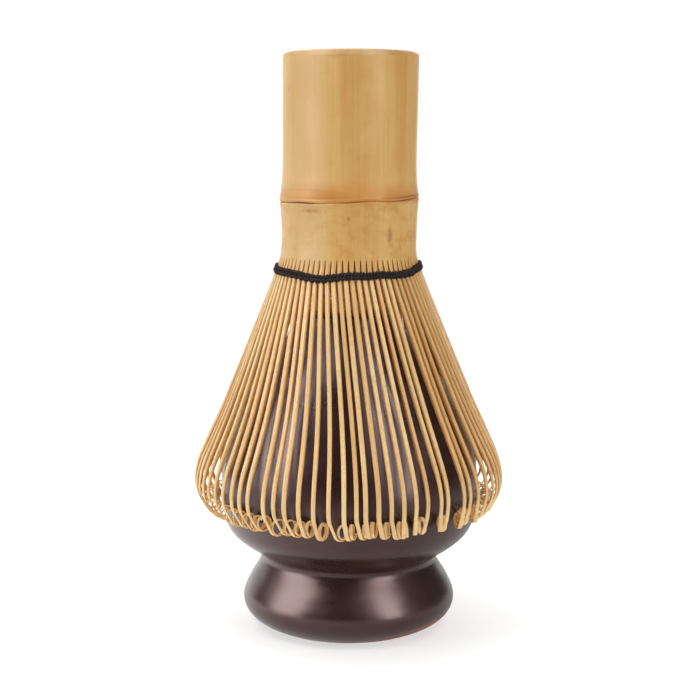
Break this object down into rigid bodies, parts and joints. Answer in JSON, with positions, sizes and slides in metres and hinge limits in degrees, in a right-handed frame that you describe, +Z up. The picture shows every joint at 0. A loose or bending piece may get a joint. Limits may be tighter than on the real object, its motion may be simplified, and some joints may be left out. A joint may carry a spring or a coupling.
{
  "type": "bamboo tea whisk",
  "caption": "Bamboo tea whisk with a tubular handle, a cage of fine split tines curled at their tips and a dark thread binding, standing on a waisted ceramic holder.",
  "frame": {"origin": "centre of the holder's foot, on the surface that it stands on", "axes": "+Z up along the common axis of the holder and the whisk, towards the whisk's handle end"},
  "size_m": [0.0704, 0.0704, 0.13],
  "materials": {
    "glaze": "satin dark brown glaze",
    "culm": "smooth peeled bamboo, satin",
    "tine": "split and shaved bamboo, matt",
    "inner_tine": "split inner bamboo, matt",
    "thread": "twisted cotton thread"
  },
  "bodies": {
    "holder": {"holder": "glaze"},
    "whisk": {"handle": "culm", "outer_tines_01": "tine", "outer_tines_02": "tine", "outer_tines_03": "tine", "outer_tines_04": "tine", "outer_tines_05": "tine", "outer_tines_06": "tine", "outer_tines_07": "tine", "outer_tines_08": "tine", "outer_tines_09": "tine", "outer_tines_10": "tine", "outer_tines_11": "tine", "outer_tines_12": "tine", "inner_tines_01": "inner_tine", "inner_tines_02": "inner_tine", "inner_tines_03": "inner_tine", "inner_tines_04": "inner_tine", "inner_tines_05": "inner_tine", "inner_tines_06": "inner_tine", "inner_tines_07": "inner_tine", "inner_tines_08": "inner_tine", "inner_tines_09": "inner_tine", "inner_tines_10": "inner_tine", "inner_tines_11": "inner_tine", "inner_tines_12": "inner_tine", "thread_upper": "thread", "thread_lower": "thread"}
  },
  "joints": [
    {"name": "whisk_lift", "type": "slide", "parent": "holder", "child": "whisk", "axis": [0, 0, 1], "range_m": [0, 0.06]}
  ]
}
